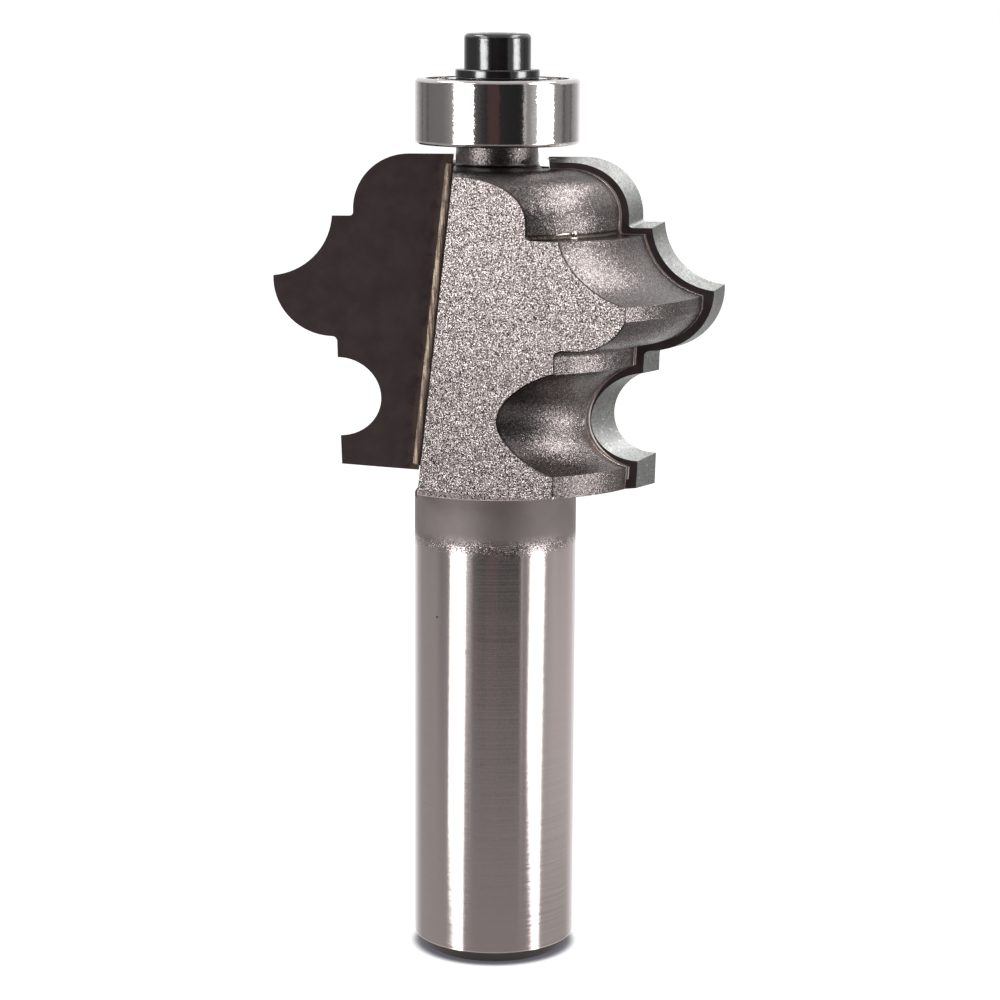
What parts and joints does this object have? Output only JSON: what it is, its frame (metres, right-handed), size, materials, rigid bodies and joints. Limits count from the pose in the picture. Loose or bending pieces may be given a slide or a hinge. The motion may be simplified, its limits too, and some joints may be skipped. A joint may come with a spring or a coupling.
{
  "type": "router bit",
  "caption": "Edge-profiling router bit with brazed carbide tips, a plain cylindrical shank and a shielded ball-bearing pilot held by a socket-head screw.",
  "frame": {"origin": "centre of the shank's end face, which the bit stands on", "axes": "+Z along the shank towards the pilot screw; the front cutting face is on the -X side and looks along -Y"},
  "size_m": [0.0352, 0.027, 0.0725],
  "materials": {
    "body_steel": "blasted body, ground shank",
    "carbide": "ground tungsten carbide",
    "braze": "heat-stained silver solder",
    "bearing_steel": "ground and polished",
    "ball_steel": "polished",
    "cage_steel": "pressed",
    "shield_steel": "pressed, satin",
    "wire_steel": "drawn",
    "black_oxide": "oiled black oxide"
  },
  "bodies": {
    "root": {"body": "body_steel", "carbide_tip_front": "carbide", "carbide_tip_rear": "carbide", "braze_front": "braze", "braze_rear": "braze", "bearing_inner_ring": "bearing_steel", "washer": "black_oxide", "retaining_screw": "black_oxide"},
    "outer_race": {"bearing_outer_ring": "bearing_steel", "upper_shield": "shield_steel", "lower_shield": "shield_steel", "upper_shield_wire": "wire_steel", "lower_shield_wire": "wire_steel"},
    "cage": {"bearing_cage": "cage_steel"},
    "ball_1": {"ball_1": "ball_steel"},
    "ball_2": {"ball_2": "ball_steel"},
    "ball_3": {"ball_3": "ball_steel"},
    "ball_4": {"ball_4": "ball_steel"},
    "ball_5": {"ball_5": "ball_steel"},
    "ball_6": {"ball_6": "ball_steel"},
    "ball_7": {"ball_7": "ball_steel"}
  },
  "joints": [
    {"name": "pilot_turn", "type": "hinge", "parent": "root", "child": "outer_race", "pos_m": [0, 0, 0.0666], "axis": [0, 0, 1], "continuous": true},
    {"name": "cage_turn", "type": "hinge", "parent": "root", "child": "cage", "pos_m": [0, 0, 0.0666], "axis": [0, 0, 1], "continuous": true},
    {"name": "ball_1_spin", "type": "hinge", "parent": "cage", "child": "ball_1", "pos_m": [0.00437, 0, 0.0666], "axis": [0, 0, 1], "continuous": true},
    {"name": "ball_2_spin", "type": "hinge", "parent": "cage", "child": "ball_2", "pos_m": [0.00272, 0.00341, 0.0666], "axis": [0, 0, 1], "continuous": true},
    {"name": "ball_3_spin", "type": "hinge", "parent": "cage", "child": "ball_3", "pos_m": [-0.00097, 0.00426, 0.0666], "axis": [0, 0, 1], "continuous": true},
    {"name": "ball_4_spin", "type": "hinge", "parent": "cage", "child": "ball_4", "pos_m": [-0.00393, 0.00189, 0.0666], "axis": [0, 0, 1], "continuous": true},
    {"name": "ball_5_spin", "type": "hinge", "parent": "cage", "child": "ball_5", "pos_m": [-0.00393, -0.00189, 0.0666], "axis": [0, 0, 1], "continuous": true},
    {"name": "ball_6_spin", "type": "hinge", "parent": "cage", "child": "ball_6", "pos_m": [-0.00097, -0.00426, 0.0666], "axis": [0, 0, 1], "continuous": true},
    {"name": "ball_7_spin", "type": "hinge", "parent": "cage", "child": "ball_7", "pos_m": [0.00272, -0.00341, 0.0666], "axis": [0, 0, 1], "continuous": true}
  ],
  "couplings": [
    {"joint": "cage_turn", "follows": "pilot_turn", "ratio": 0.59094},
    {"joint": "ball_1_spin", "follows": "pilot_turn", "ratio": 2.6582},
    {"joint": "ball_2_spin", "follows": "pilot_turn", "ratio": 2.6582},
    {"joint": "ball_3_spin", "follows": "pilot_turn", "ratio": 2.6582},
    {"joint": "ball_4_spin", "follows": "pilot_turn", "ratio": 2.6582},
    {"joint": "ball_5_spin", "follows": "pilot_turn", "ratio": 2.6582},
    {"joint": "ball_6_spin", "follows": "pilot_turn", "ratio": 2.6582},
    {"joint": "ball_7_spin", "follows": "pilot_turn", "ratio": 2.6582}
  ]
}
